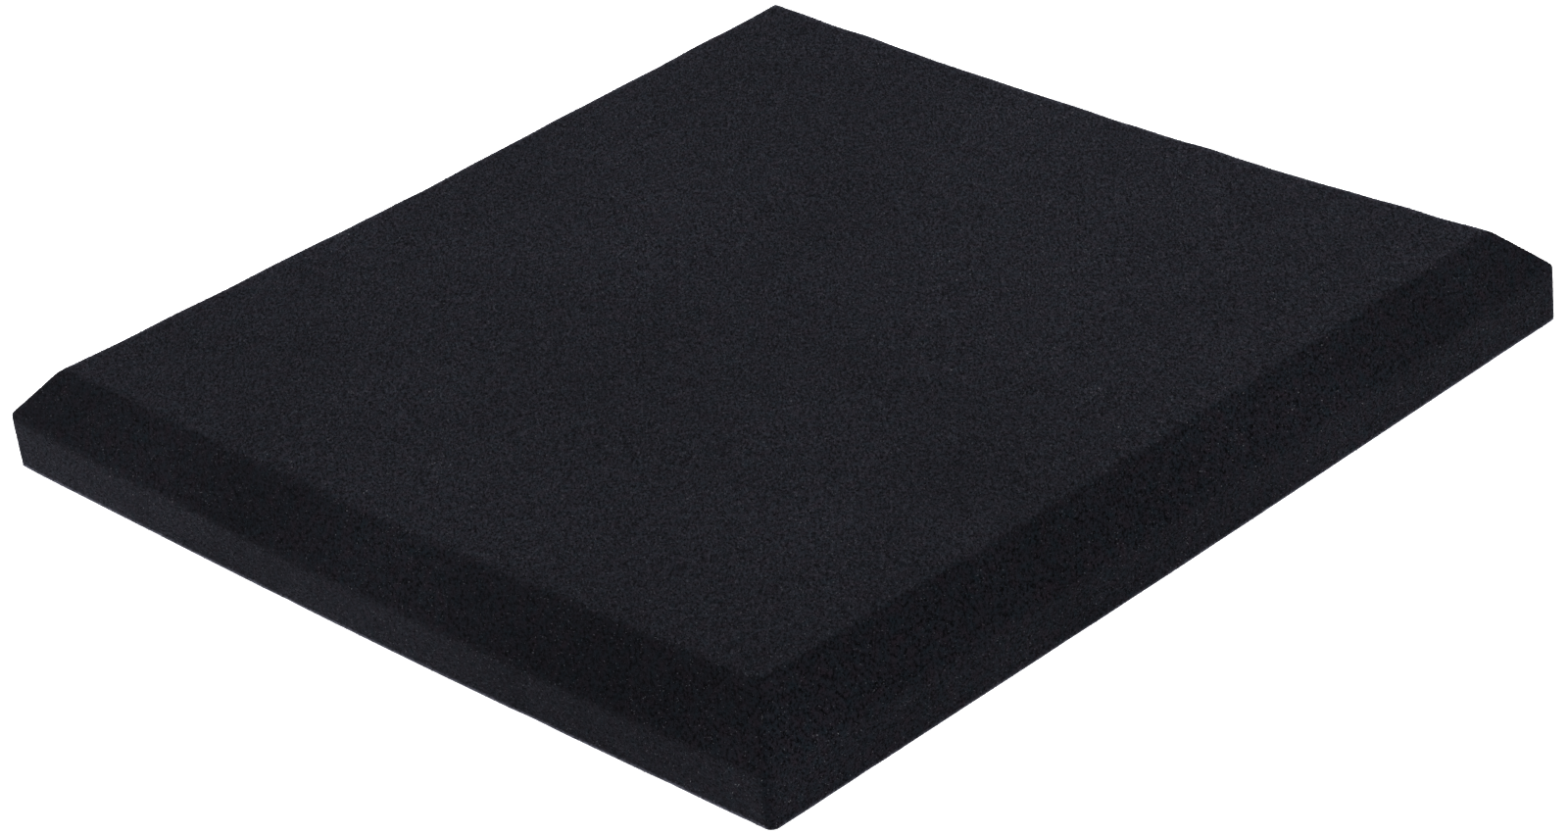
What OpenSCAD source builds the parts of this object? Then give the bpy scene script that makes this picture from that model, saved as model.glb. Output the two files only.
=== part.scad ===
// Flocked foam tile: a square block of open-cell foam with a bevelled front.
// Its front, bevels and edges are sprayed with adhesive and flocked with short
// fibres. Its back is bare foam and lies flat.
// The origin is the centre of the back face, and the front faces +Z.

/* [Tile] */
// Side of the square tile, over the flock
tile_side = 500; // [300:5:600]
// Thickness of the tile, over the flock
tile_thickness = 48; // [40:1:60]

/* [Bevelled front] */
// Height of the upright edge below the bevel
upright_height = 24; // [15:1:26]
// Width of the bevel, seen from the front
bevel_width = 23; // [15:1:30]

/* [Rounding] */
// Radius of the four upright corners
corner_radius = 5; // [3:0.5:10]
// Radius where the bevel meets the edge and the front
knuckle_radius = 3; // [2.5:0.5:8]

/* [Flock] */
// Length of the fibres that stand on the tile
pile_length = 0.8; // [0.5:0.1:1.2]
// Thickness of the adhesive film that holds the fibres
glue_film = 0.25; // [0.2:0.05:0.5]

/* [Hidden] */

$fn = 64;
// Flat strips that make up each rounded knuckle
knuckle_strips = 6;
// How far a coat's hollow is cut past the open back
cut_past_back = 1;

half_side = tile_side / 2;
// Angle of the bevel's outward normal above the horizontal
bevel_angle = atan2(bevel_width, tile_thickness - upright_height);

// Centres of the two roundings, the same for every layer of the tile
edge_knuckle = [
    half_side - knuckle_radius,
    upright_height - knuckle_radius * tan(bevel_angle / 2)
];
front_knuckle = [
    half_side - bevel_width - knuckle_radius * tan((90 - bevel_angle) / 2),
    tile_thickness - knuckle_radius
];

// Points on an arc about a centre, from one angle to another
function arc(centre, radius, from, to) = [
    for (i = [0 : knuckle_strips])
        let (a = from + (to - from) * i / knuckle_strips)
            centre + radius * [cos(a), sin(a)]
];

// Right half of the tile's cross-section, a set depth below the flock's tips
function half_section(depth, past_back) = concat(
    [[half_side - depth, -past_back]],
    arc(edge_knuckle, knuckle_radius - depth, 0, bevel_angle),
    arc(front_knuckle, knuckle_radius - depth, bevel_angle, 90)
);

// Left half, as the right one mirrored and walked the other way round
function mirrored(points) = [
    for (i = [len(points) - 1 : -1 : 0])
        [-points[i][0], points[i][1]]
];

// The cross-section drawn out along Y, past both ends of the tile
module bevelled_bar(depth, past_back) {
    right = half_section(depth, past_back);
    rotate([90, 0, 0])
        linear_extrude(2 * tile_side, center = true)
            polygon(concat(right, mirrored(right)));
}

// Plan of the tile, with its four rounded corners
module plan(depth) {
    straight = tile_side - 2 * corner_radius;
    width = tile_side - 2 * depth;
    square([straight, width], center = true);
    square([width, straight], center = true);
    for (x = [-1, 1])
        for (y = [-1, 1])
            translate([x, y] * straight / 2)
                circle(corner_radius - depth);
}

// The whole tile, a set depth below the flock's tips
module tile_form(depth, past_back = 0) {
    intersection() {
        bevelled_bar(depth, past_back);
        rotate([0, 0, 90])
            bevelled_bar(depth, past_back);
        translate([0, 0, -past_back])
            linear_extrude(tile_thickness + past_back)
                plan(depth);
    }
}

// A coat that covers the front, bevels and edges, and is open at the back
module coat(outer_depth, inner_depth) {
    difference() {
        tile_form(outer_depth);
        tile_form(inner_depth, cut_past_back);
    }
}

module foam_core() {
    color("#2f3034")
        tile_form(pile_length + glue_film);
}

module flock_adhesive_coat() {
    color("#26262a")
        coat(pile_length, pile_length + glue_film);
}

module flock_pile_coat() {
    color("#1c1d21")
        coat(0, pile_length);
}

foam_core();
flock_adhesive_coat();
flock_pile_coat();
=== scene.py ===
# %% [markdown]
# # A flocked foam tile
#
# The tile is a square block of foam with a bevel round its front. A film of adhesive is sprayed
# over its front, bevels and edges, and short black fibres are shot into the wet film. What you
# see is the pile of those fibres: a dull black that turns lighter where you look along it.
#
# The CAD model says where each layer lies. This notebook gives the layers their soft, slightly
# crooked shape, their pile and their finish. All lengths are in metres.

import math

import bmesh
import bpy
from mathutils import Matrix, Vector


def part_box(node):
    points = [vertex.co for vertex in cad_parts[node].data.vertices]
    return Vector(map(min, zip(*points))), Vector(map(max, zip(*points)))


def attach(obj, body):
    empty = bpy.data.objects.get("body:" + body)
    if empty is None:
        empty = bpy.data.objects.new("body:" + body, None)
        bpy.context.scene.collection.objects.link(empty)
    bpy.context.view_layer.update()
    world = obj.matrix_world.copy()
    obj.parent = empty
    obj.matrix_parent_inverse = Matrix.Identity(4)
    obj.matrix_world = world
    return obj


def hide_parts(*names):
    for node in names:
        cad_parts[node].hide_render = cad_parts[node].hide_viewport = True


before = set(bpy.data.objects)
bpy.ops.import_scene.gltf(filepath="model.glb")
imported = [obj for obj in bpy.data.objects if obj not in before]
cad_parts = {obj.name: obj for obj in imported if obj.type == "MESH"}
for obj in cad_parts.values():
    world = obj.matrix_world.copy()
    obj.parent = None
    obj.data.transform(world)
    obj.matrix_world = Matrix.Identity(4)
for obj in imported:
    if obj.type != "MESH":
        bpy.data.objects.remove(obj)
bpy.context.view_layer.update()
print("layers in the model:", sorted(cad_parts))

# %% Read the layers' depths
MM = 0.001
BODY = "root"

tips_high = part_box("flock_pile_coat")[1]
film_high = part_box("flock_adhesive_coat")[1]
foam_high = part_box("foam_core")[1]

HALF_SIDE = tips_high.x
THICKNESS = tips_high.z
FILM_DEPTH = tips_high.z - film_high.z
FOAM_DEPTH = tips_high.z - foam_high.z
print(f"tile {2000 * HALF_SIDE:.1f} mm square and {1000 * THICKNESS:.1f} mm thick")
print(f"pile {1000 * FILM_DEPTH:.2f} mm, adhesive {1000 * (FOAM_DEPTH - FILM_DEPTH):.2f} mm")

# %% [markdown]
# ## The shape of a foam tile
#
# A wire cuts the block square and then trims a bevel off each side of its front. The cut is
# never quite straight. The ridges wander by a fraction of a millimetre, each bevel gets a little
# narrower towards one end, and the free block curls so that its corners stand a few millimetres
# higher than its middle. The back of each corner hangs down again a little under its own weight.
# These values say how much.

# %% Name the tile's sizes
UPRIGHT_HEIGHT = 24 * MM
BEVEL_WIDTH = 23 * MM
KNUCKLE_RADIUS = 3 * MM
CORNER_RADIUS = 5 * MM
BEVEL_ANGLE = math.atan2(BEVEL_WIDTH, THICKNESS - UPRIGHT_HEIGHT)
BEVEL_SLOPE = math.hypot(BEVEL_WIDTH, THICKNESS - UPRIGHT_HEIGHT)
print(f"bevel {1000 * BEVEL_SLOPE:.1f} mm down its slope")

# %% Name the foam's crookedness
CURL_ACROSS = 3.1 * MM
CURL_ALONG = 5.0 * MM
NEAR_BEVEL_DRIFT = 5.0 * MM
FAR_BEVEL_DRIFT = 2.9 * MM
CORNER_DROOP = 2.3 * MM
RIDGE_WANDER = 0.9 * MM
OUTLINE_WANDER = 0.5 * MM
SWELL = 0.5 * MM
NAP_RELIEF = 0.04 * MM
# The ridge's wander fades out over the last tenth of the front.
RIDGE_REACH = 10.0
# Waves to the metre: long and short ones of the ridge, and those of the outline and the swell.
RIDGE_WAVES = (14.0, 45.0)
OUTLINE_WAVES = 22.0
SWELL_WAVES = 9.0
RELIEF_WAVES = 330.0
print(f"corners curl up {1000 * (CURL_ACROSS + CURL_ALONG):.1f} mm over the middle")

# %% Describe the cross-section
def section(depth):
    """Half a cross-section, depth below the fibre tips, and the lengths walked along it."""
    at_ridge = (math.pi / 2 - BEVEL_ANGLE) / 2
    at_edge = BEVEL_ANGLE / 2
    half_side = HALF_SIDE - depth
    front = THICKNESS - depth
    ridge = HALF_SIDE - BEVEL_WIDTH - depth * math.tan(at_ridge)
    edge = UPRIGHT_HEIGHT - depth * math.tan(at_edge)
    radius = KNUCKLE_RADIUS - depth
    # Each half of a rounded knuckle is this much shorter than half of a sharp one.
    ridge_trim = radius * (math.tan(at_ridge) - at_ridge)
    edge_trim = radius * (math.tan(at_edge) - at_edge)
    to_ridge = ridge - ridge_trim
    to_edge = to_ridge + math.hypot(half_side - ridge, front - edge) - ridge_trim - edge_trim
    return {
        "Half side": half_side,
        "Front height": front,
        "Ridge": ridge,
        "Edge height": edge,
        "Knuckle radius": radius,
        "Corner radius": CORNER_RADIUS - depth,
        "To ridge": to_ridge,
        "To edge": to_edge,
        "To rim": to_edge + edge - edge_trim,
    }


def cell_counts(step):
    """How many cells of about this size go across half the front, the bevel and the edge."""
    return {
        "Front cells": round((HALF_SIDE - BEVEL_WIDTH) / step),
        "Bevel cells": round(BEVEL_SLOPE / step),
        "Edge cells": round(UPRIGHT_HEIGHT / step),
    }


print("section of the fibre tips:", {k: round(v * 1000, 2) for k, v in section(0).items()})

# %% [markdown]
# ## Small helpers for node trees
#
# Geometry Nodes and materials are both drawings made of nodes and links. Built in code they stay
# readable if each common node has a one-word function that takes numbers or sockets and gives a
# socket back. The same noise helper serves both, so a patch of nap can have its own lean in the
# mesh and its own painted sheen in the material.

# %% Helpers that add one node each
def node(tree, kind, inputs=(), **settings):
    """Adds a node, sets it up and feeds its inputs, by order or by name."""
    made = tree.nodes.new(kind)
    for name, value in settings.items():
        setattr(made, name, value)
    pairs = inputs.items() if isinstance(inputs, dict) else enumerate(inputs)
    for key, value in pairs:
        if isinstance(value, bpy.types.NodeSocket):
            tree.links.new(value, made.inputs[key])
        elif value is not None:
            made.inputs[key].default_value = value
    return made


def maths(tree, operation, *values, clamp=False):
    return node(tree, "ShaderNodeMath", values, operation=operation, use_clamp=clamp).outputs[0]


def vector_maths(tree, operation, *values):
    made = node(tree, "ShaderNodeVectorMath", values, operation=operation)
    return made.outputs["Value" if operation == "LENGTH" else "Vector"]


def stretch(tree, vector, amount):
    inputs = {0: vector, "Scale": amount}
    return node(tree, "ShaderNodeVectorMath", inputs, operation="SCALE").outputs[0]


def combine(tree, x, y, z):
    return node(tree, "ShaderNodeCombineXYZ", (x, y, z)).outputs[0]


def separate(tree, vector):
    return node(tree, "ShaderNodeSeparateXYZ", (vector,)).outputs


print("node helpers ready")

# %% Helpers for smooth randomness
def noise(tree, vector, scale, detail=0.0, roughness=0.5):
    """Smooth noise from -1 to 1, about."""
    inputs = {"Vector": vector, "Scale": scale, "Detail": detail, "Roughness": roughness}
    texture = node(tree, "ShaderNodeTexNoise", inputs)
    return maths(tree, "MULTIPLY_ADD", texture.outputs[0], 4.0, -2.0)


def scaled(tree, value, low, high):
    """A value of about -1 to 1 as a share from low to high."""
    inputs = {"Value": value, "From Min": -1.0, "From Max": 1.0, "To Min": low, "To Max": high}
    return node(tree, "ShaderNodeMapRange", inputs).outputs[0]


PATCHES_PER_METRE = 11.0


def nap_sheen_patches(tree, place):
    """Patches of brushed nap that are painted lighter or darker, as painted sheen, from -1 to 1,
    about.
    """
    return noise(tree, place, PATCHES_PER_METRE, 3.0)


print("noise helpers ready")

# %% Helpers that make a Geometry Nodes tree and run it
def new_tree(name, inputs):
    """An empty tree with a geometry input, the named inputs given, and a geometry output."""
    tree = bpy.data.node_groups.new(name, "GeometryNodeTree")
    add = tree.interface.new_socket
    add(name="Geometry", in_out="INPUT", socket_type="NodeSocketGeometry")
    for label, kind in inputs.items():
        add(name=label, in_out="INPUT", socket_type=f"NodeSocket{kind}")
    add(name="Geometry", in_out="OUTPUT", socket_type="NodeSocketGeometry")
    start = tree.nodes.new("NodeGroupInput")
    end = tree.nodes.new("NodeGroupOutput")
    return tree, start.outputs, end.inputs[0]


def end_tree(tree, geometry, finish, end):
    """Ends a tree: whatever it made becomes real mesh with one finish."""
    whole = node(tree, "GeometryNodeRealizeInstances", {"Geometry": geometry}).outputs[0]
    inputs = {"Geometry": whole, "Material": finish}
    tree.links.new(node(tree, "GeometryNodeSetMaterial", inputs).outputs[0], end)


def run_tree(tree, name, values, mesh=None):
    """Runs a tree with these named inputs and gives the result as an object with a plain mesh."""
    obj = bpy.data.objects.new(name, mesh or bpy.data.meshes.new(name))
    bpy.context.scene.collection.objects.link(obj)
    modifier = obj.modifiers.new(name, "NODES")
    modifier.node_group = tree
    sockets = {s.name: s.identifier for s in tree.interface.items_tree if s.in_out == "INPUT"}
    for label, value in values.items():
        modifier[sockets[label]] = value
    graph = bpy.context.evaluated_depsgraph_get()
    result = bpy.data.meshes.new_from_object(obj.evaluated_get(graph), depsgraph=graph)
    # A mesh made from nothing has an empty first slot before the finishes.
    if result.materials and not result.materials[0]:
        result.materials.pop(index=0)
    obj.modifiers.clear()
    obj.data = result
    result.name = name
    print(f"{name}: {len(result.vertices)} points, {len(result.polygons)} faces")
    return obj


print("tree helpers ready")

# %% [markdown]
# ## Finishes
#
# The pile swallows light, so its own colour is almost nothing. What lifts it to a soft charcoal is
# sheen: light caught on the sides of fibres that are seen at a low angle. A painted-on light rim
# could fake that from one side only. The shader's sheen does it from every side, so the front
# turns lighter than the bevel wherever you stand.

# %% Helpers for finishes
def new_finish(name, roughness, specular, sheen=0.0, sheen_roughness=0.5, sheen_tint=(1, 1, 1)):
    material = bpy.data.materials.new(name)
    material.use_nodes = True
    shader = material.node_tree.nodes["Principled BSDF"]
    shader.inputs["Roughness"].default_value = roughness
    shader.inputs["Specular IOR Level"].default_value = specular
    shader.inputs["Sheen Weight"].default_value = sheen
    shader.inputs["Sheen Roughness"].default_value = sheen_roughness
    shader.inputs["Sheen Tint"].default_value = (*sheen_tint, 1)
    return material, material.node_tree, shader


def own_place(tree):
    return tree.nodes.new("ShaderNodeTexCoord").outputs["Object"]


def mixed(tree, share, first, second):
    """One colour turning into another as the share goes from 0 to 1."""
    made = node(tree, "ShaderNodeMix", {0: share}, data_type="RGBA")
    for key, colour in ((6, first), (7, second)):
        if isinstance(colour, bpy.types.NodeSocket):
            tree.links.new(colour, made.inputs[key])
        else:
            made.inputs[key].default_value = (*colour, 1)
    return made.outputs[2]


def tinted(amount, colour):
    return tuple(amount * c for c in colour)


def bump(tree, shader, height, distance):
    made = node(tree, "ShaderNodeBump", {"Distance": distance, "Height": height})
    tree.links.new(made.outputs[0], shader.inputs["Normal"])


print("finish helpers ready")

# %% [markdown]
# ## The black pile
#
# The mass of fibres has three scales of pattern: patches a hand's width across where the nap lies
# one way, painted lighter or darker as painted sheen, a faint drift of hue between blue-black and
# warm black, and a grain of about a millimetre where fibres stick together. A noise of each size
# mixes the colours.
#
# The fibres of each speck also lean their own way, and with so much sheen that matters more than
# their colour. A bump map could tilt the surface, but it shows slopes, and so its marks come out
# as short streaks across the view. Adding a noise's three channels straight to the normal tilts
# every speck on its own and keeps the grain even.

# %% Name the pile's colours and its sheen
PILE_ROUGHNESS = 0.95
PILE_SHINE = 0.01
PILE_SHEEN = 0.5
SHEEN_TINT = (0.160, 0.163, 0.211)
SHEEN_ROUGHNESS = 0.3
PILE_COLOUR = (0.0016, 0.0016, 0.0021)
BLUE_BLACK = (0.0011, 0.0017, 0.0023)
WARM_BLACK = (0.0020, 0.0015, 0.0021)
# Colour levels of brushed-down and brushed-up patches: painted shade and painted sheen of the nap.
DOWN_NAP_PAINTED_SHADE = 1.2
UP_NAP_PAINTED_SHEEN = 2.2
HUE_SPOTS_PER_METRE = 200.0
print(f"a hue changes about every {1000 / HUE_SPOTS_PER_METRE:.0f} mm")

# %% Name the nap's grain
# The nap lies this way, and its marks are this much shorter across it than along it.
NAP_HEADING = math.radians(49)
NAP_NARROWING = 2.0
# How fine and crisp the specks are, and how far the fibres of each one lean.
SPECKS_PER_METRE = 900.0
SPECK_SHARPNESS = 0.8
SPECK_LEAN = 0.7
# The noise is stretched past 0 and 1, so that most places are plainly gap or plainly fibre.
GAP_END = -0.6
FIBRE_END = 2.0
# A gap is this bright beside the pile's colour.
GAP_BRIGHTNESS = 0.1
print(f"a speck is about {1000 / SPECKS_PER_METRE:.1f} mm wide")

# %% Helpers for the nap
def pile_finish(name, sheen_tint):
    return new_finish(name, PILE_ROUGHNESS, PILE_SHINE, PILE_SHEEN, SHEEN_ROUGHNESS, sheen_tint)


def along_the_nap(tree, place):
    """The place, turned to the nap's heading and pressed together along it."""
    turned = node(tree, "ShaderNodeVectorRotate", {"Vector": place, "Angle": -NAP_HEADING})
    return vector_maths(tree, "DIVIDE", turned.outputs[0], (NAP_NARROWING, 1.0, 1.0))


def leaning_fibres(tree, shader, lay):
    """Turns the surface by a small angle, at each speck another way."""
    inputs = {"Vector": lay, "Scale": SPECKS_PER_METRE, "Detail": 2.0, "Roughness": SPECK_SHARPNESS}
    colour = node(tree, "ShaderNodeTexNoise", inputs).outputs["Color"]
    lean = stretch(tree, vector_maths(tree, "SUBTRACT", colour, (0.5, 0.5, 0.5)), SPECK_LEAN)
    outward = tree.nodes.new("ShaderNodeNewGeometry").outputs["Normal"]
    turned = vector_maths(tree, "NORMALIZE", vector_maths(tree, "ADD", outward, lean))
    tree.links.new(turned, shader.inputs["Normal"])


print("nap helpers ready")

# %% Mix the pile's finish
def mass_of_fibres():
    material, tree, shader = pile_finish("fibre_mass", SHEEN_TINT)
    place = own_place(tree)
    patch = scaled(tree, nap_sheen_patches(tree, place), 0.0, 1.0)
    hue = scaled(tree, noise(tree, place, HUE_SPOTS_PER_METRE, 2.0), 0.0, 1.0)
    lay = along_the_nap(tree, place)
    specks = noise(tree, lay, SPECKS_PER_METRE, 2.0, SPECK_SHARPNESS)
    grain = scaled(tree, specks, GAP_END, FIBRE_END)
    # The patches are painted darker or lighter: the nap's sheen painted into the colour.
    cool = mixed(tree, patch, tinted(DOWN_NAP_PAINTED_SHADE, BLUE_BLACK), tinted(UP_NAP_PAINTED_SHEEN, BLUE_BLACK))
    warm = mixed(tree, patch, tinted(DOWN_NAP_PAINTED_SHADE, WARM_BLACK), tinted(UP_NAP_PAINTED_SHEEN, WARM_BLACK))
    fibre = mixed(tree, hue, cool, warm)
    gap = tinted(GAP_BRIGHTNESS, PILE_COLOUR)
    tree.links.new(mixed(tree, grain, gap, fibre), shader.inputs["Base Color"])
    leaning_fibres(tree, shader, lay)
    return material


PILE_FINISH = mass_of_fibres()
print("pile finish:", len(PILE_FINISH.node_tree.nodes), "nodes")

# %% [markdown]
# ## The tufts' shades
#
# Single tufts are too small for a pattern of their own. Each gets one of a few plain shades
# instead, and so the grain comes from which tuft stands where. Most are as dark as the gaps between
# fibres, some are brighter, and here and there one is pale, as a speck of lint is. The glint tufts,
# about a tenth, are painted very bright: a painted glint of fibre tips catching the light.

# %% Make one finish for each shade
# How bright each shade is beside the pile, its hue, and the share of tufts that reach it.
SHADES = {
    "black": (0.4, (1.0, 1.0, 1.25), 1.0),
    "charcoal": (1.6, (1.0, 1.0, 1.25), 0.55),
    "blue-black": (2.2, (0.75, 1.05, 1.4), 0.32),
    "violet-black": (2.2, (1.25, 0.95, 1.3), 0.22),
    # Painted glint: bright colour for tufts whose tips would catch the light.
    "ash": (17.0, (1.0, 1.0, 1.15), 0.11),
    "pale": (40.0, (1.0, 1.0, 1.1), 0.0005),
}


def tuft_finish(shade):
    bright, hue, _ = SHADES[shade]
    material, _, shader = pile_finish(f"flock_{shade}", tinted(SHEEN_TINT[1], hue))
    shader.inputs["Base Color"].default_value = (*tinted(bright * PILE_COLOUR[1], hue), 1)
    return material


TUFT_FINISHES = {f"Shade {shade}": tuft_finish(shade) for shade in SHADES}
print("tuft shades:", ", ".join(SHADES))

# %% [markdown]
# ## The foam and the adhesive
#
# The foam only shows on the open back. It is a dull charcoal whose cut cells are painted darker
# than the thin struts between them, as painted shade in their hollows, so two sizes of Voronoi
# cells colour it and dent it. The adhesive dries to a thin black rubbery skin, uneven where the
# spray ran.

# %% Mix the foam's finish
STRUT_COLOUR = (0.075, 0.076, 0.084)
# The cells' colour is painted shade in their hollows.
CELL_PAINTED_SHADE = (0.009, 0.0092, 0.0105)
DUST_COLOUR = (0.026, 0.026, 0.029)
LARGE_CELLS_PER_METRE = 480.0
SMALL_CELLS_PER_METRE = 1400.0


def cell_distance(tree, place, cells_per_metre):
    inputs = {"Vector": place, "Scale": cells_per_metre}
    return node(tree, "ShaderNodeTexVoronoi", inputs, feature="F1").outputs["Distance"]


def foam_finish():
    material, tree, shader = new_finish("cut_foam", 0.95, 0.1, sheen=0.04)
    place = own_place(tree)
    small = maths(tree, "MULTIPLY", cell_distance(tree, place, SMALL_CELLS_PER_METRE), 0.4)
    large = cell_distance(tree, place, LARGE_CELLS_PER_METRE)
    struts = maths(tree, "MULTIPLY_ADD", large, 0.7, small, clamp=True)
    # Cells are painted darker than struts: painted shade in the hollows.
    lit = mixed(tree, struts, CELL_PAINTED_SHADE, STRUT_COLOUR)
    worn = scaled(tree, noise(tree, place, 25.0, 3.0), 0.35, 0.0)
    tree.links.new(mixed(tree, worn, lit, DUST_COLOUR), shader.inputs["Base Color"])
    bump(tree, shader, struts, 0.6 * MM)
    return material


FOAM_FINISH = foam_finish()
print("foam finish:", len(FOAM_FINISH.node_tree.nodes), "nodes")

# %% Mix the adhesive's finish
def adhesive_finish():
    material, tree, shader = new_finish("adhesive_skin", 0.45, 0.4)
    place = own_place(tree)
    runs = scaled(tree, noise(tree, place, 140.0, 3.0), 0.0, 1.0)
    colour = mixed(tree, runs, (0.010, 0.010, 0.011), (0.028, 0.028, 0.030))
    tree.links.new(colour, shader.inputs["Base Color"])
    bump(tree, shader, noise(tree, place, 500.0, 2.0), 0.1 * MM)
    return material


ADHESIVE_FINISH = adhesive_finish()
print("adhesive finish:", len(ADHESIVE_FINISH.node_tree.nodes), "nodes")

# %% [markdown]
# ## A sheet folded over the tile
#
# Each layer follows the same rule. Take a flat grid, and think of the distance from its middle
# line as a length walked along the cross-section: over the front, down the bevel, down the edge.
# Sampling a curve of the cross-section at that length, once for X and once for Y, folds the grid
# over the tile. The lower of the two heights wins, which makes the mitred corners.
#
# A subdivided box could be bevelled into the same form, but its faces would be long strips. The
# folded grid keeps every cell about as long as it is wide, which the nap needs.

# %% Draw half the cross-section as a curve
def section_curve(tree, start):
    """Half the cross-section as a curve in XZ, with rounded knuckles."""
    corners = [
        combine(tree, 0.0, 0.0, start["Front height"]),
        combine(tree, start["Ridge"], 0.0, start["Front height"]),
        combine(tree, start["Half side"], 0.0, start["Edge height"]),
        combine(tree, start["Half side"], 0.0, 0.0),
    ]
    pick = tree.nodes.new("GeometryNodeIndexSwitch")
    pick.data_type = "VECTOR"
    while len(pick.index_switch_items) < len(corners):
        pick.index_switch_items.new()
    tree.links.new(node(tree, "GeometryNodeInputIndex").outputs[0], pick.inputs["Index"])
    for place, corner in enumerate(corners):
        tree.links.new(corner, pick.inputs[place + 1])
    line = node(tree, "GeometryNodeMeshLine", {"Count": len(corners)}).outputs[0]
    bent = node(tree, "GeometryNodeSetPosition", {"Geometry": line, "Position": pick.outputs[0]})
    curve = node(tree, "GeometryNodeMeshToCurve", {"Mesh": bent.outputs[0]}).outputs[0]
    inputs = {"Curve": curve, "Count": 8, "Radius": start["Knuckle radius"]}
    return node(tree, "GeometryNodeFilletCurve", inputs, mode="POLY").outputs[0]


print("section curve ready")

# %% [markdown]
# Counting cells from the middle line, the walk gives so many cells to the front, so many to the
# bevel and so many to the edge. Rows of points therefore land exactly on the two knuckles.

# %% Walk along the section and fold
def walk(tree, start, cell):
    """The length walked after this many cells, and the shares of front and bevel behind it."""
    past_front = maths(tree, "SUBTRACT", cell, start["Front cells"])
    past_bevel = maths(tree, "SUBTRACT", past_front, start["Bevel cells"])
    on_front = maths(tree, "DIVIDE", cell, start["Front cells"], clamp=True)
    on_bevel = maths(tree, "DIVIDE", past_front, start["Bevel cells"], clamp=True)
    on_edge = maths(tree, "DIVIDE", past_bevel, start["Edge cells"], clamp=True)
    down_bevel = maths(tree, "SUBTRACT", start["To edge"], start["To ridge"])
    down_edge = maths(tree, "SUBTRACT", start["To rim"], start["To edge"])
    length = maths(tree, "MULTIPLY", on_front, start["To ridge"])
    length = maths(tree, "MULTIPLY_ADD", on_bevel, down_bevel, length)
    length = maths(tree, "MULTIPLY_ADD", on_edge, down_edge, length)
    return length, on_front, on_bevel


def fold(tree, start, curve, cell):
    """Folds one direction of the grid: how far out, how high, and where on the section."""
    length, on_front, on_bevel = walk(tree, start, maths(tree, "ABSOLUTE", cell))
    inputs = {"Curves": curve, "Length": length}
    settings = {"mode": "LENGTH", "use_all_curves": False}
    sampled = node(tree, "GeometryNodeSampleCurve", inputs, **settings).outputs["Position"]
    out, _, height = separate(tree, sampled)
    near_ridge = maths(tree, "MULTIPLY_ADD", on_front, RIDGE_REACH, 1.0 - RIDGE_REACH, clamp=True)
    off_bevel = maths(tree, "SUBTRACT", 1.0, on_bevel)
    return {
        "side": maths(tree, "SIGN", cell),
        "out": out,
        "height": height,
        "ridge_share": maths(tree, "MULTIPLY", near_ridge, off_bevel),
        "wall_share": on_bevel,
    }


print("fold ready")

# %% [markdown]
# Foam is soft, so nothing on it is quite straight or sharp. The ridge and the outline wander, the
# upright corners are round, and the whole block curls a little.

# %% Make it crooked like foam
def wander(tree, folded, along, offset):
    """How far out, with the ridge and the outline a little off their straight lines."""
    at = combine(tree, along, maths(tree, "MULTIPLY", folded["side"], 0.37), offset)
    inputs = {"Value": along, "From Min": -HALF_SIDE, "From Max": HALF_SIDE}
    towards_far_end = node(tree, "ShaderNodeMapRange", inputs).outputs[0]
    drift = scaled(tree, folded["side"], NEAR_BEVEL_DRIFT, FAR_BEVEL_DRIFT)
    ridge = maths(tree, "MULTIPLY", drift, towards_far_end)
    for waves, share in zip(RIDGE_WAVES, (0.6, 0.4)):
        ridge = maths(tree, "MULTIPLY_ADD", noise(tree, at, waves), share * RIDGE_WANDER, ridge)
    outline = maths(tree, "MULTIPLY", noise(tree, at, OUTLINE_WAVES, 2.0), OUTLINE_WANDER)
    out = maths(tree, "MULTIPLY_ADD", folded["ridge_share"], ridge, folded["out"])
    return maths(tree, "MULTIPLY_ADD", folded["wall_share"], outline, out)


def round_corners(tree, start, x, y):
    """Pulls points outside the rounded corners back on to them."""
    flat = combine(tree, x, y, 0.0)
    straight = maths(tree, "SUBTRACT", start["Half side"], start["Corner radius"])
    size = vector_maths(tree, "ABSOLUTE", flat)
    inner = vector_maths(tree, "MINIMUM", size, combine(tree, straight, straight, 0.0))
    over = vector_maths(tree, "SUBTRACT", size, inner)
    longest = maths(tree, "MAXIMUM", vector_maths(tree, "LENGTH", over), start["Corner radius"])
    share = maths(tree, "DIVIDE", start["Corner radius"], longest)
    size = vector_maths(tree, "ADD", inner, stretch(tree, over, share))
    return vector_maths(tree, "MULTIPLY", size, vector_maths(tree, "SIGN", flat))


def curl(tree, x, y, z):
    """How much higher the curled block stands at this place than at its middle."""
    across = maths(tree, "MULTIPLY", maths(tree, "MULTIPLY", x, x), CURL_ACROSS / HALF_SIDE**2)
    along = maths(tree, "MULTIPLY", maths(tree, "MULTIPLY", y, y), CURL_ALONG / HALF_SIDE**2)
    # The lower half of each corner hangs back down, and so the edge is tallest there.
    near_corner = maths(tree, "ABSOLUTE", maths(tree, "MULTIPLY", x, y))
    near_corner = maths(tree, "POWER", maths(tree, "DIVIDE", near_corner, HALF_SIDE**2), 3.0)
    low = maths(tree, "MULTIPLY_ADD", z, -1.0 / UPRIGHT_HEIGHT, 1.0, clamp=True)
    droop = maths(tree, "MULTIPLY", maths(tree, "MULTIPLY", near_corner, low), -CORNER_DROOP)
    return maths(tree, "ADD", maths(tree, "ADD", across, along), droop)


print("crookedness ready")

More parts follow.
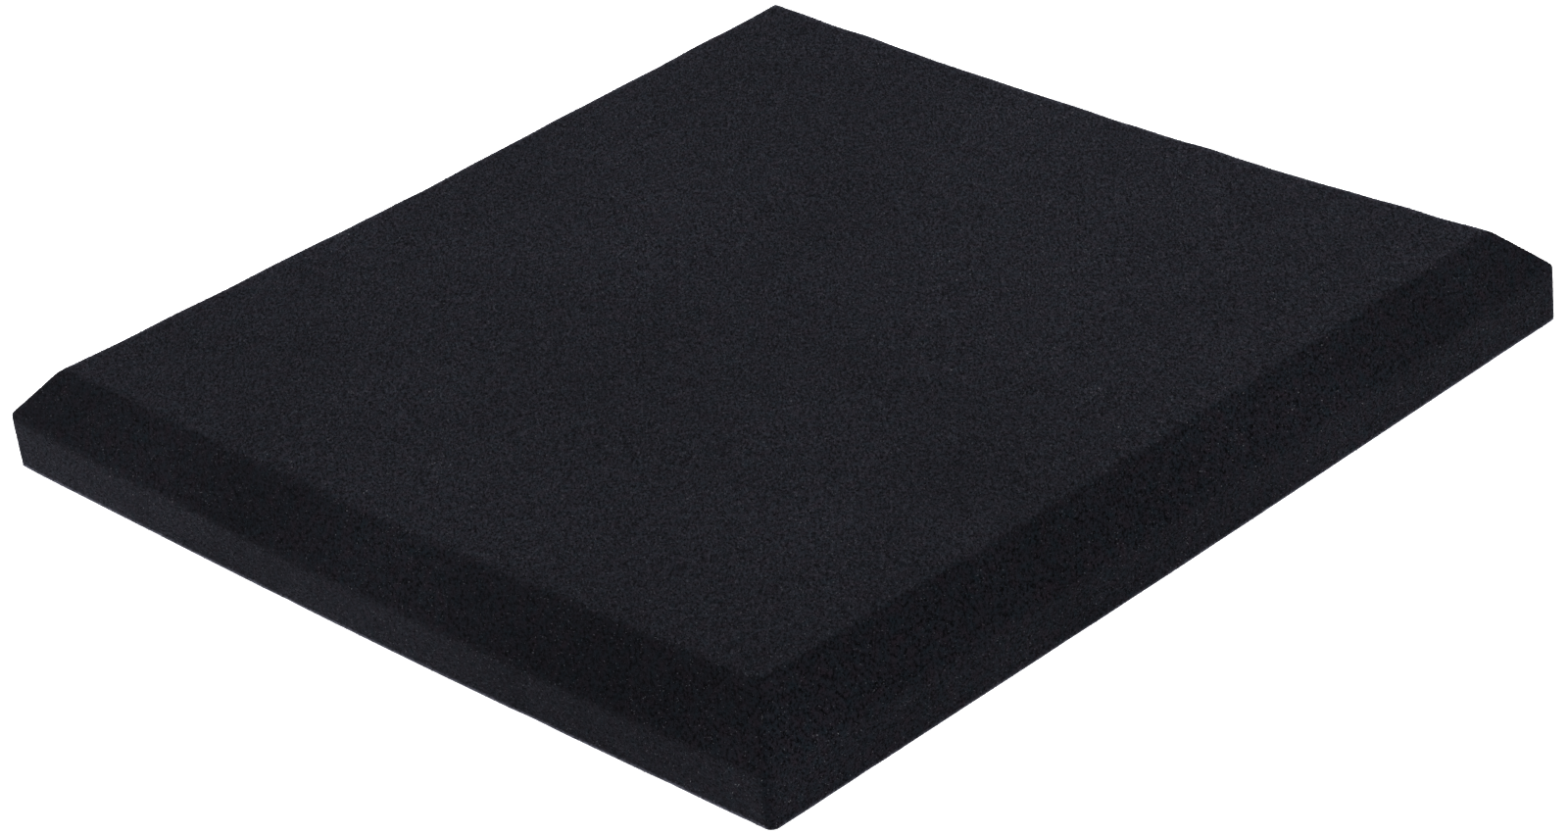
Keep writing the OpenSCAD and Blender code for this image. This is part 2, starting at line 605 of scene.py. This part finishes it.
# %% [markdown]
# The grid's own corners, where both walks would be on an edge, are cut away and the seam is
# welded. Then the sheet is softened, swollen and curled. The rim at the open back is curled but
# not softened or swollen, because the next layer has to meet it there.

# %% Cut the flat grid
def cut_grid(tree, start):
    """A flat grid of unit cells without its four corner squares, and each point's cell."""
    half = maths(tree, "ADD", start["Front cells"], start["Bevel cells"])
    cells = maths(tree, "MULTIPLY", maths(tree, "ADD", half, start["Edge cells"]), 2.0)
    points = maths(tree, "ADD", cells, 1.0)
    grid = node(tree, "GeometryNodeMeshGrid", (cells, cells, points, points)).outputs[0]
    column, row, _ = separate(tree, node(tree, "GeometryNodeInputPosition").outputs[0])
    limit = maths(tree, "ADD", half, 1.0)
    past_column = maths(tree, "GREATER_THAN", maths(tree, "ABSOLUTE", column), limit)
    past_row = maths(tree, "GREATER_THAN", maths(tree, "ABSOLUTE", row), limit)
    corner = maths(tree, "MULTIPLY", past_column, past_row)
    inputs = {"Geometry": grid, "Selection": corner}
    cut = node(tree, "GeometryNodeDeleteGeometry", inputs, domain="FACE").outputs[0]
    return cut, column, row


print("grid ready")

# %% Soften and swell a folded sheet
def soften(tree, start, sheet):
    """Blurs, swells, roughens and curls a folded sheet."""
    place = node(tree, "GeometryNodeInputPosition").outputs[0]
    x, y, z = separate(tree, place)
    rise = {"Value": z, "From Min": 1.0 * MM, "From Max": 6.0 * MM}
    above_rim = node(tree, "ShaderNodeMapRange", rise).outputs[0]
    inputs = {"Value": place, "Iterations": start["Soften"], "Weight": above_rim}
    blurred = node(tree, "GeometryNodeBlurAttribute", inputs, data_type="FLOAT_VECTOR").outputs[0]
    inputs = {"Geometry": sheet, "Position": blurred}
    softened = node(tree, "GeometryNodeSetPosition", inputs).outputs[0]

    swell = maths(tree, "MULTIPLY", above_rim, SWELL)
    swell = maths(tree, "MULTIPLY", noise(tree, place, SWELL_WAVES, 1.0), swell)
    relief = noise(tree, place, RELIEF_WAVES, 1.0)
    push = maths(tree, "MULTIPLY_ADD", relief, start["Nap relief"], swell)
    outward = stretch(tree, node(tree, "GeometryNodeInputNormal").outputs[0], push)
    bend = combine(tree, 0.0, 0.0, curl(tree, x, y, z))
    inputs = {"Geometry": softened, "Offset": vector_maths(tree, "ADD", outward, bend)}
    shaped = node(tree, "GeometryNodeSetPosition", inputs).outputs[0]
    return node(tree, "GeometryNodeSetShadeSmooth", {"Geometry": shaped}).outputs[0]


print("softening ready")

# %% Put the folding tree together
COUNTS = ("Front cells", "Bevel cells", "Edge cells", "Soften")
LENGTHS = (*section(0), "Nap relief")
SKIN_INPUTS = dict.fromkeys(COUNTS, "Int") | dict.fromkeys(LENGTHS, "Float")


def skin_tree():
    tree, start, end = new_tree("fold a sheet over the tile", SKIN_INPUTS | {"Finish": "Material"})
    curve = section_curve(tree, start)
    grid, column, row = cut_grid(tree, start)
    across = fold(tree, start, curve, column)
    along = fold(tree, start, curve, row)
    straight_x = maths(tree, "MULTIPLY", across["side"], across["out"])
    straight_y = maths(tree, "MULTIPLY", along["side"], along["out"])
    x = maths(tree, "MULTIPLY", across["side"], wander(tree, across, straight_y, 0.0))
    y = maths(tree, "MULTIPLY", along["side"], wander(tree, along, straight_x, 5.0))
    height = maths(tree, "MINIMUM", across["height"], along["height"])
    plan = round_corners(tree, start, x, y)
    place = vector_maths(tree, "ADD", plan, combine(tree, 0.0, 0.0, height))
    inputs = {"Geometry": grid, "Position": place}
    folded = node(tree, "GeometryNodeSetPosition", inputs).outputs[0]
    inputs = {"Geometry": folded, "Distance": 0.01 * MM}
    welded = node(tree, "GeometryNodeMergeByDistance", inputs).outputs[0]
    end_tree(tree, soften(tree, start, welded), start["Finish"], end)
    return tree


SKIN = skin_tree()
print("folding tree:", len(SKIN.nodes), "nodes")

# %% [markdown]
# ## Layers
#
# A layer is two folded sheets, an outer and an inner one, joined round the open back. The outer
# sheet of the pile needs a fine grid, because its nap shows. The hidden sheets follow the same
# rule on a coarse grid. The mass of the pile ends a little below the tips of the tufts, which
# stand out of it.

# %% Fold the sheets
FINE_STEP = 2.0 * MM
COARSE_STEP = 5.0 * MM
TUFT_RISE = 0.45 * MM


def fold_skin(name, depth, step, finish, softness=0, nap_relief=0.0):
    values = section(depth) | cell_counts(step)
    values |= {"Soften": softness, "Nap relief": nap_relief, "Finish": finish}
    return run_tree(SKIN, name, values)


tips_sheet = fold_skin("tips_sheet", TUFT_RISE, FINE_STEP, PILE_FINISH, 1, NAP_RELIEF)
film_sheet = fold_skin("film_sheet", FILM_DEPTH, COARSE_STEP, ADHESIVE_FINISH)
foam_sheet = fold_skin("foam_sheet", FOAM_DEPTH, COARSE_STEP, FOAM_FINISH)

# %% [markdown]
# ## The open back
#
# The back is the wire-cut foam itself, with no film and no pile. Open-cell foam shows cut cells:
# small pits of many sizes between thin struts. The larger pits are pushed into the sheet's own
# mesh, and the smallest ones are left to the finish. The sheet is inset a little, so that a narrow
# flat border is left for stitching it to the block's sides.

# %% Build the back's tree
BACK_INPUTS = {
    "Cells": "Int",
    "Half side": "Float",
    "Corner radius": "Float",
    "Pit depth": "Float",
    "Finish": "Material",
}
SMALL_PITS_PER_METRE = 240.0
BROAD_PITS_PER_METRE = 90.0


def back_tree():
    tree, start, end = new_tree("cut foam back", BACK_INPUTS)
    size = maths(tree, "MULTIPLY", start["Half side"], 2.0)
    points = maths(tree, "ADD", start["Cells"], 1.0)
    grid = node(tree, "GeometryNodeMeshGrid", (size, size, points, points)).outputs[0]
    place = node(tree, "GeometryNodeInputPosition").outputs[0]
    x, y, _ = separate(tree, place)
    small = maths(tree, "MAXIMUM", noise(tree, place, SMALL_PITS_PER_METRE, 1.0), 0.0)
    broad = maths(tree, "MAXIMUM", noise(tree, place, BROAD_PITS_PER_METRE), 0.0)
    pits = maths(tree, "MULTIPLY", maths(tree, "ADD", small, broad), start["Pit depth"])
    height = combine(tree, 0.0, 0.0, maths(tree, "ADD", curl(tree, x, y, 0.0), pits))
    place = vector_maths(tree, "ADD", round_corners(tree, start, x, y), height)
    inputs = {"Geometry": grid, "Position": place}
    shaped = node(tree, "GeometryNodeSetPosition", inputs).outputs[0]
    turned = node(tree, "GeometryNodeFlipFaces", {"Mesh": shaped}).outputs[0]
    end_tree(tree, turned, start["Finish"], end)
    return tree


BACK = back_tree()
print("back tree:", len(BACK.nodes), "nodes")

# %% Make the back sheet
BACK_INSET = 1.5 * MM
BACK_CELLS = 220
BACK_VALUES = {
    "Cells": BACK_CELLS,
    "Half side": foam_high.x - BACK_INSET,
    "Corner radius": CORNER_RADIUS - FOAM_DEPTH,
    "Pit depth": 0.55 * MM,
    "Finish": FOAM_FINISH,
}
back_sheet = run_tree(BACK, "back_sheet", BACK_VALUES)

# %% [markdown]
# ## Close the layers
#
# Two rims with different numbers of points are stitched by walking round both at once, always
# stepping along the one that lags behind. The inner sheet of a coat is turned inside out first,
# so that every face of the closed solid points outwards.

# %% Stitch two rims together
def rim_of(points):
    """The points on a sheet's open rim, in order round the middle."""
    edge = [p for p in points if any(e.is_boundary for e in p.link_edges)]
    return sorted(edge, key=lambda p: math.atan2(p.co.y, p.co.x))


def stitch(solid, outer, inner):
    """Fills the ring between two rims with triangles that face down."""
    turns = [[math.atan2(p.co.y, p.co.x) for p in rim] + [math.inf] for rim in (outer, inner)]
    i = j = 0
    while i < len(outer) or j < len(inner):
        a = outer[i % len(outer)]
        b = inner[j % len(inner)]
        if j == len(inner) or (i < len(outer) and turns[0][i + 1] <= turns[1][j + 1]):
            i += 1
            face = solid.faces.new((outer[i % len(outer)], a, b))
        else:
            j += 1
            face = solid.faces.new((b, inner[j % len(inner)], a))
        face.smooth = True


print("stitching ready")

# %% Close two sheets into one solid
def close_solid(name, outer, inner, turn_inner):
    """One closed mesh, in the outer sheet's finish, from copies of two sheets."""
    solid = bmesh.new()
    solid.from_mesh(outer.data)
    outer_points = len(solid.verts)
    outer_faces = len(solid.faces)
    solid.from_mesh(inner.data)
    solid.verts.ensure_lookup_table()
    solid.faces.ensure_lookup_table()
    if turn_inner:
        bmesh.ops.reverse_faces(solid, faces=solid.faces[outer_faces:])
    stitch(solid, rim_of(solid.verts[:outer_points]), rim_of(solid.verts[outer_points:]))
    open_edges = sum(not e.is_manifold for e in solid.edges)
    mesh = bpy.data.meshes.new(name)
    solid.to_mesh(mesh)
    solid.free()
    mesh.materials.append(outer.data.materials[0])
    piece = bpy.data.objects.new(name, mesh)
    bpy.context.scene.collection.objects.link(piece)
    print(f"{name}: {len(mesh.polygons)} faces, {open_edges} open edges")
    return piece


pile = close_solid("flock_pile", tips_sheet, film_sheet, turn_inner=True)
film = close_solid("flock_adhesive_film", film_sheet, foam_sheet, turn_inner=True)
foam = close_solid("foam_block", foam_sheet, back_sheet, turn_inner=False)
for sheet in (film_sheet, foam_sheet, back_sheet):
    bpy.data.objects.remove(sheet)

# %% [markdown]
# ## The fibres
#
# Real flock has hundreds of fibres on each square millimetre, each finer than a hair. The pile's
# own skin stands for the mass of them. What the eye reads as nap are the little tufts in which
# they stick together, so a tree scatters those over the skin: slim three-sided spikes that lean
# together in patches where the nap has been brushed, and differ a little in height, lean and
# shade. Hair particles would follow the same rule, but as curves they have no closed mesh.

# %% Name the tufts' sizes
FLOCK_INPUTS = {
    "Tufts per square metre": "Float",
    "Quarter X": "Float",
    "Quarter Y": "Float",
    "Tuft height": "Float",
    "Tuft width": "Float",
    "Rooted": "Float",
    "Brushed lean": "Float",
    "Own lean": "Float",
    "Seed": "Int",
}
TUFTS_PER_SQUARE_METRE = 0.6e6
TUFT_ROOT = 0.2 * MM
TUFT_WIDTH = 0.52 * MM
SWEEPS_PER_METRE = 16.0
print(f"tufts {1000 / math.sqrt(TUFTS_PER_SQUARE_METRE):.2f} mm apart")

# %% Helpers that place the tufts
def random_value(tree, low, high, seed, data_type="FLOAT"):
    made = node(tree, "FunctionNodeRandomValue", {"Seed": seed}, data_type=data_type)
    least, most = [s for s in made.inputs if s.enabled and s.name in ("Min", "Max")]
    least.default_value = low
    most.default_value = high
    return next(s for s in made.outputs if s.enabled)


def scatter(tree, start):
    """Points on one quarter of the skin."""
    x, y, _ = separate(tree, node(tree, "GeometryNodeInputPosition").outputs[0])
    inside_x = maths(tree, "GREATER_THAN", maths(tree, "MULTIPLY", x, start["Quarter X"]), 0.0)
    inside_y = maths(tree, "GREATER_THAN", maths(tree, "MULTIPLY", y, start["Quarter Y"]), 0.0)
    inside = maths(tree, "MULTIPLY", inside_x, inside_y)
    density = maths(tree, "MULTIPLY", inside, start["Tufts per square metre"])
    inputs = {"Mesh": start["Geometry"], "Density": density, "Seed": start["Seed"]}
    return node(tree, "GeometryNodeDistributePointsOnFaces", inputs).outputs


print("placing helpers ready")

# %% Helpers that turn and shape a tuft
def leaning(tree, start, normal):
    """Which way each tuft stands: off the skin, brushed with its patch, and a bit its own way."""
    place = node(tree, "GeometryNodeInputPosition").outputs[0]
    elsewhere = vector_maths(tree, "ADD", place, (3.0, 0.0, 0.0))
    swept_x = noise(tree, place, SWEEPS_PER_METRE, 1.0)
    swept_y = noise(tree, elsewhere, SWEEPS_PER_METRE, 1.0)
    brushed = stretch(tree, combine(tree, swept_x, swept_y, -0.5), start["Brushed lean"])
    own = random_value(tree, (-1.0, -1.0, -1.0), (1.0, 1.0, 1.0), start["Seed"], "FLOAT_VECTOR")
    lean = vector_maths(tree, "ADD", normal, brushed)
    lean = vector_maths(tree, "ADD", lean, stretch(tree, own, start["Own lean"]))
    upright = node(tree, "FunctionNodeAlignRotationToVector", {"Vector": lean}, axis="Z").outputs[0]
    spin = combine(tree, 0.0, 0.0, random_value(tree, 0.0, math.tau, 7))
    spin = node(tree, "FunctionNodeEulerToRotation", (spin,)).outputs[0]
    turn = node(tree, "FunctionNodeRotateRotation", (upright, spin), rotation_space="LOCAL")
    return turn.outputs[0]


def one_tuft(tree, start):
    """A three-sided spike, rooted a little below the skin."""
    inputs = {
        "Vertices": 3,
        "Radius Top": 0.0,
        "Radius Bottom": maths(tree, "MULTIPLY", start["Tuft width"], 0.5),
        "Depth": start["Tuft height"],
    }
    spike = node(tree, "GeometryNodeMeshCone", inputs, fill_type="NGON").outputs["Mesh"]
    down = combine(tree, 0.0, 0.0, maths(tree, "MULTIPLY", start["Rooted"], -1.0))
    inputs = {"Geometry": spike, "Translation": down}
    return node(tree, "GeometryNodeTransform", inputs).outputs[0]


print("tuft helpers ready")

# %% [markdown]
# The shade of a tuft is decided by one random number, which the tufts of a brushed-up patch get a
# little higher, so that those patches are painted brighter as painted sheen. The tree first makes
# every tuft black and then gives each brighter shade to those whose number is high enough.

# %% Build the flock tree
# How much brighter the tufts of brushed-up patches are painted: painted sheen of the nap.
PAINTED_SHEEN_SWAY = 0.02


def flock_tree():
    inputs = FLOCK_INPUTS | {f"Shade {shade}": "Material" for shade in SHADES}
    tree, start, end = new_tree("flock fibres", inputs)
    points, normal = scatter(tree, start)[:2]
    patch = nap_sheen_patches(tree, node(tree, "GeometryNodeInputPosition").outputs[0])
    luck = random_value(tree, 0.0, 1.0, 17)
    luck = maths(tree, "MULTIPLY_ADD", patch, PAINTED_SHEEN_SWAY, luck)
    inputs = {"Geometry": points, "Name": "luck", "Value": luck}
    marked = node(tree, "GeometryNodeStoreNamedAttribute", inputs, domain="POINT").outputs[0]
    wide = random_value(tree, 0.7, 1.4, 13)
    tall = random_value(tree, 0.7, 1.25, 11)
    inputs = {
        "Points": marked,
        "Instance": one_tuft(tree, start),
        "Rotation": leaning(tree, start, normal),
        "Scale": combine(tree, wide, wide, tall),
    }
    planted = node(tree, "GeometryNodeInstanceOnPoints", inputs).outputs[0]
    result = node(tree, "GeometryNodeRealizeInstances", {"Geometry": planted}).outputs[0]
    luck = node(tree, "GeometryNodeInputNamedAttribute", {"Name": "luck"}).outputs[0]
    for shade, (_, _, share) in SHADES.items():
        lucky = maths(tree, "GREATER_THAN", luck, 1.0 - share if share < 1.0 else -9.0)
        inputs = {"Geometry": result, "Selection": lucky, "Material": start[f"Shade {shade}"]}
        result = node(tree, "GeometryNodeSetMaterial", inputs).outputs[0]
    tree.links.new(result, end)
    return tree


FLOCK = flock_tree()
print("flock tree:", len(FLOCK.nodes), "nodes")

# %% Plant the tufts
QUARTERS = {"near_left": (-1, -1), "near_right": (1, -1), "far_right": (1, 1), "far_left": (-1, 1)}
TUFT_VALUES = TUFT_FINISHES | {
    "Tufts per square metre": TUFTS_PER_SQUARE_METRE,
    "Tuft height": TUFT_RISE + TUFT_ROOT,
    "Tuft width": TUFT_WIDTH,
    "Rooted": TUFT_ROOT,
    "Brushed lean": 0.35,
    "Own lean": 0.45,
}
tufts = []
for seed, (quarter, (side_x, side_y)) in enumerate(QUARTERS.items()):
    values = TUFT_VALUES | {"Quarter X": float(side_x), "Quarter Y": float(side_y), "Seed": seed}
    piece = run_tree(FLOCK, f"flock_tufts_{quarter}", values, tips_sheet.data)
    piece.data.attributes.remove(piece.data.attributes["luck"])
    tufts.append(piece)
bpy.data.objects.remove(tips_sheet)
print(sum(len(piece.data.polygons) for piece in tufts) // 4, "tufts in all")

# %% [markdown]
# ## Join the looks to the model
#
# Every piece rides on the tile's one body, and the layer of the model that a piece stands for is
# hidden. The pile is in five pieces, the mass and four quarters of tufts, and only the mass stands
# for the layer. The foam and its pile are a firm pad.

# %% Attach each piece and hide the layer it stands for
STANDS_FOR = {
    pile: ("flock_pile_coat", "black_flock"),
    film: ("flock_adhesive_coat", "flock_adhesive"),
    foam: ("foam_core", "foam"),
}
for piece, (layer, slot) in STANDS_FOR.items():
    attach(piece, BODY)
    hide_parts(layer)
for piece in tufts:
    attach(piece, BODY)
print(len(STANDS_FOR) + len(tufts), "pieces ride on", BODY)

# %% [markdown]
# ## Studio
#
# A plain pale floor in an even white surround, so bright that the tile seems to lie on nothing.
# The floor glows a little as well, as a light table does, and so no shadow gathers round the tile.
# One large soft light hangs overhead. Three more stand low round the near, right and left sides,
# where they graze the nap and light the two upright edges.

# %% Lay the floor
FLOOR_REACH = 12.0  # metres from the middle to each side
FLOOR_GAP = 0.1 * MM
FLOOR_COLOUR = (0.93, 0.93, 0.93)
FLOOR_GLOW = 0.75


def plain_floor():
    mesh = bpy.data.meshes.new("floor")
    corners = [(x * FLOOR_REACH, y * FLOOR_REACH, -FLOOR_GAP) for x, y in QUARTERS.values()]
    mesh.from_pydata(corners, [], [(0, 1, 2, 3)])
    floor = bpy.data.objects.new("floor", mesh)
    bpy.context.scene.collection.objects.link(floor)
    material, _, shader = new_finish("pale_floor", 0.9, 0.2)
    shader.inputs["Base Color"].default_value = (*FLOOR_COLOUR, 1)
    shader.inputs["Emission Color"].default_value = (*FLOOR_COLOUR, 1)
    shader.inputs["Emission Strength"].default_value = FLOOR_GLOW
    mesh.materials.append(material)


plain_floor()
print(f"floor {2 * FLOOR_REACH:.0f} m wide")

# %% Set the surround and the lights
SURROUND = 1.0
LIGHT_SIZE = 1.6
LIGHTS = {
    "overhead_softbox": ((0.0, 0.0, 2.6), 75.0),
    "near_softbox": ((-1.0, -2.6, 1.2), 105.0),
    "right_softbox": ((1.6, -2.2, 1.2), 112.0),
    "left_softbox": ((-1.4, 2.2, 1.4), 150.0),
}

world = bpy.data.worlds.new("surround")
bpy.context.scene.world = world
world.use_nodes = True
world.node_tree.nodes["Background"].inputs["Color"].default_value = (1, 1, 1, 1)
world.node_tree.nodes["Background"].inputs["Strength"].default_value = SURROUND


def soft_light(name, place, power):
    light = bpy.data.lights.new(name, "AREA")
    light.shape = "SQUARE"
    light.size = LIGHT_SIZE
    light.energy = power
    lamp = bpy.data.objects.new(name, light)
    lamp.location = place
    lamp.rotation_mode = "QUATERNION"
    lamp.rotation_quaternion = (-Vector(place)).to_track_quat("-Z", "Y")
    bpy.context.scene.collection.objects.link(lamp)


for name, (place, power) in LIGHTS.items():
    soft_light(name, place, power)

scene = bpy.context.scene
scene.view_settings.view_transform = "Standard"
scene.view_settings.look = "None"
print("lights:", ", ".join(LIGHTS))

# %% [markdown]
# ## Camera
#
# The camera looks down on one corner of the tile from about four sides' length away, through a
# long lens, and is rolled a little. Its place is worked out from two angles and a distance, so
# that each number means something when it is changed.

# %% Place the camera
SIDE = 2 * HALF_SIDE
LENS = 103.2
CAMERA_AIM = Vector((-0.0043, -0.0053, -0.0122)) * SIDE
CAMERA_DISTANCE = 4.102 * SIDE
CAMERA_AZIMUTH = math.radians(49.02)
CAMERA_DIP = math.radians(29.06)
CAMERA_TILT = math.radians(-7.40)

level_ahead = Vector((math.cos(CAMERA_AZIMUTH), math.sin(CAMERA_AZIMUTH), 0.0))
ahead = math.cos(CAMERA_DIP) * level_ahead - math.sin(CAMERA_DIP) * Vector((0.0, 0.0, 1.0))
lens = bpy.data.cameras.new("camera")
lens.lens = LENS
lens.sensor_width = 36.0
camera = bpy.data.objects.new("camera", lens)
camera.location = CAMERA_AIM - CAMERA_DISTANCE * ahead
camera.rotation_mode = "QUATERNION"
level = ahead.to_track_quat("-Z", "Y")
camera.rotation_quaternion = level @ Matrix.Rotation(CAMERA_TILT, 3, "Z").to_quaternion()
scene.collection.objects.link(camera)
scene.camera = camera
print("camera stands at", [round(v, 3) for v in camera.location])

# %% End of the scene
print("scene ready")
